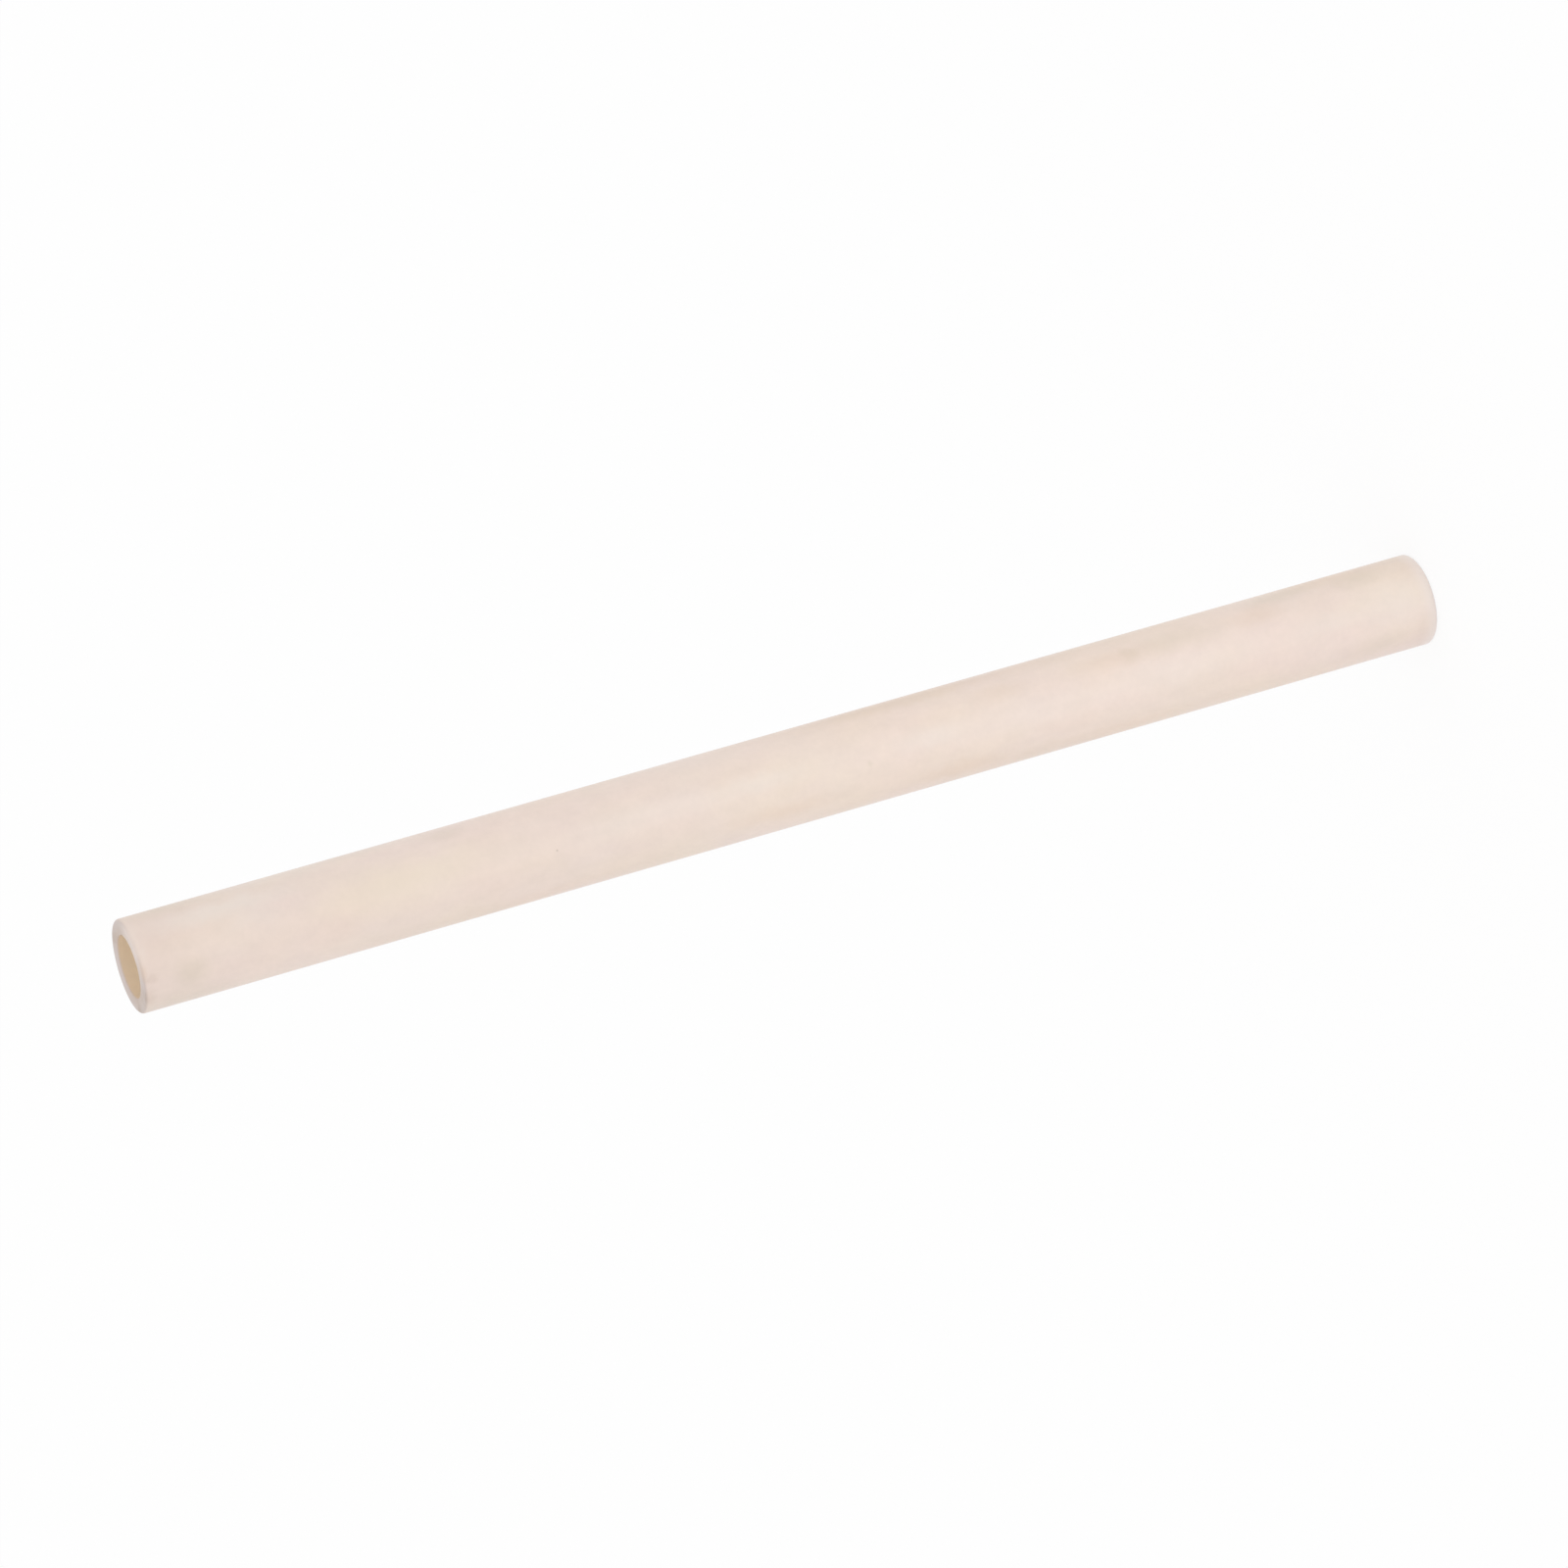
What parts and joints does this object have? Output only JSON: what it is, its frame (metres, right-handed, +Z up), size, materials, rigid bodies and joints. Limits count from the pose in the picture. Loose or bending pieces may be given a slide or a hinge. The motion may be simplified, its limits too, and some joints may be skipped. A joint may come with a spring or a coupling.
{
  "type": "ceramic insulator tube",
  "caption": "Straight plain round tube of unglazed fired ceramic with a through bore and rounded end edges, made to insulate a conductor or rod that passes through it.",
  "frame": {"origin": "in the middle of the end that the tube stands on", "axes": "+Z up along the tube's axis; the tube is round, so X and Y are any two directions across it"},
  "size_m": [0.012, 0.012, 0.178],
  "materials": {
    "fired_ceramic": "matte, unglazed"
  },
  "bodies": {
    "root": {"tube": "fired_ceramic"}
  },
  "joints": []
}
